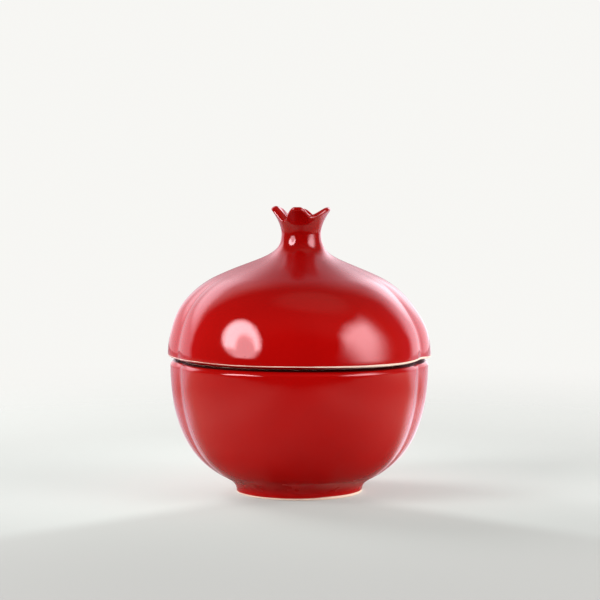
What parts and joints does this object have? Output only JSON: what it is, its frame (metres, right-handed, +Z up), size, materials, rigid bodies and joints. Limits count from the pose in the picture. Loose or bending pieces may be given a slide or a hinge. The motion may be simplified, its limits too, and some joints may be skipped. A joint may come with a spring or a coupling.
{
  "type": "lidded bowl",
  "caption": "Red glazed ceramic dry fruit bowl shaped as a pomegranate: a lobed bowl on a foot ring, and a domed lift-off lid with a spigot under it and the fruit's flared calyx as its knob.",
  "frame": {"origin": "centre of the foot ring, on the surface that the bowl stands on", "axes": "+Z up along the axis of the bowl and lid, -Y towards the front, where the broad lobe faces"},
  "size_m": [0.1402, 0.1387, 0.1523],
  "materials": {
    "red_glaze": "deep red high-gloss glaze over pale clay, bare at the sole of the foot ring and at the lid's rim and spigot"
  },
  "bodies": {
    "bowl": {"bowl": "red_glaze"},
    "lid": {"lid": "red_glaze"}
  },
  "joints": [
    {"name": "lid_lift", "type": "slide", "parent": "bowl", "child": "lid", "axis": [0, 0, 1], "range_m": [0, 0.12]}
  ]
}
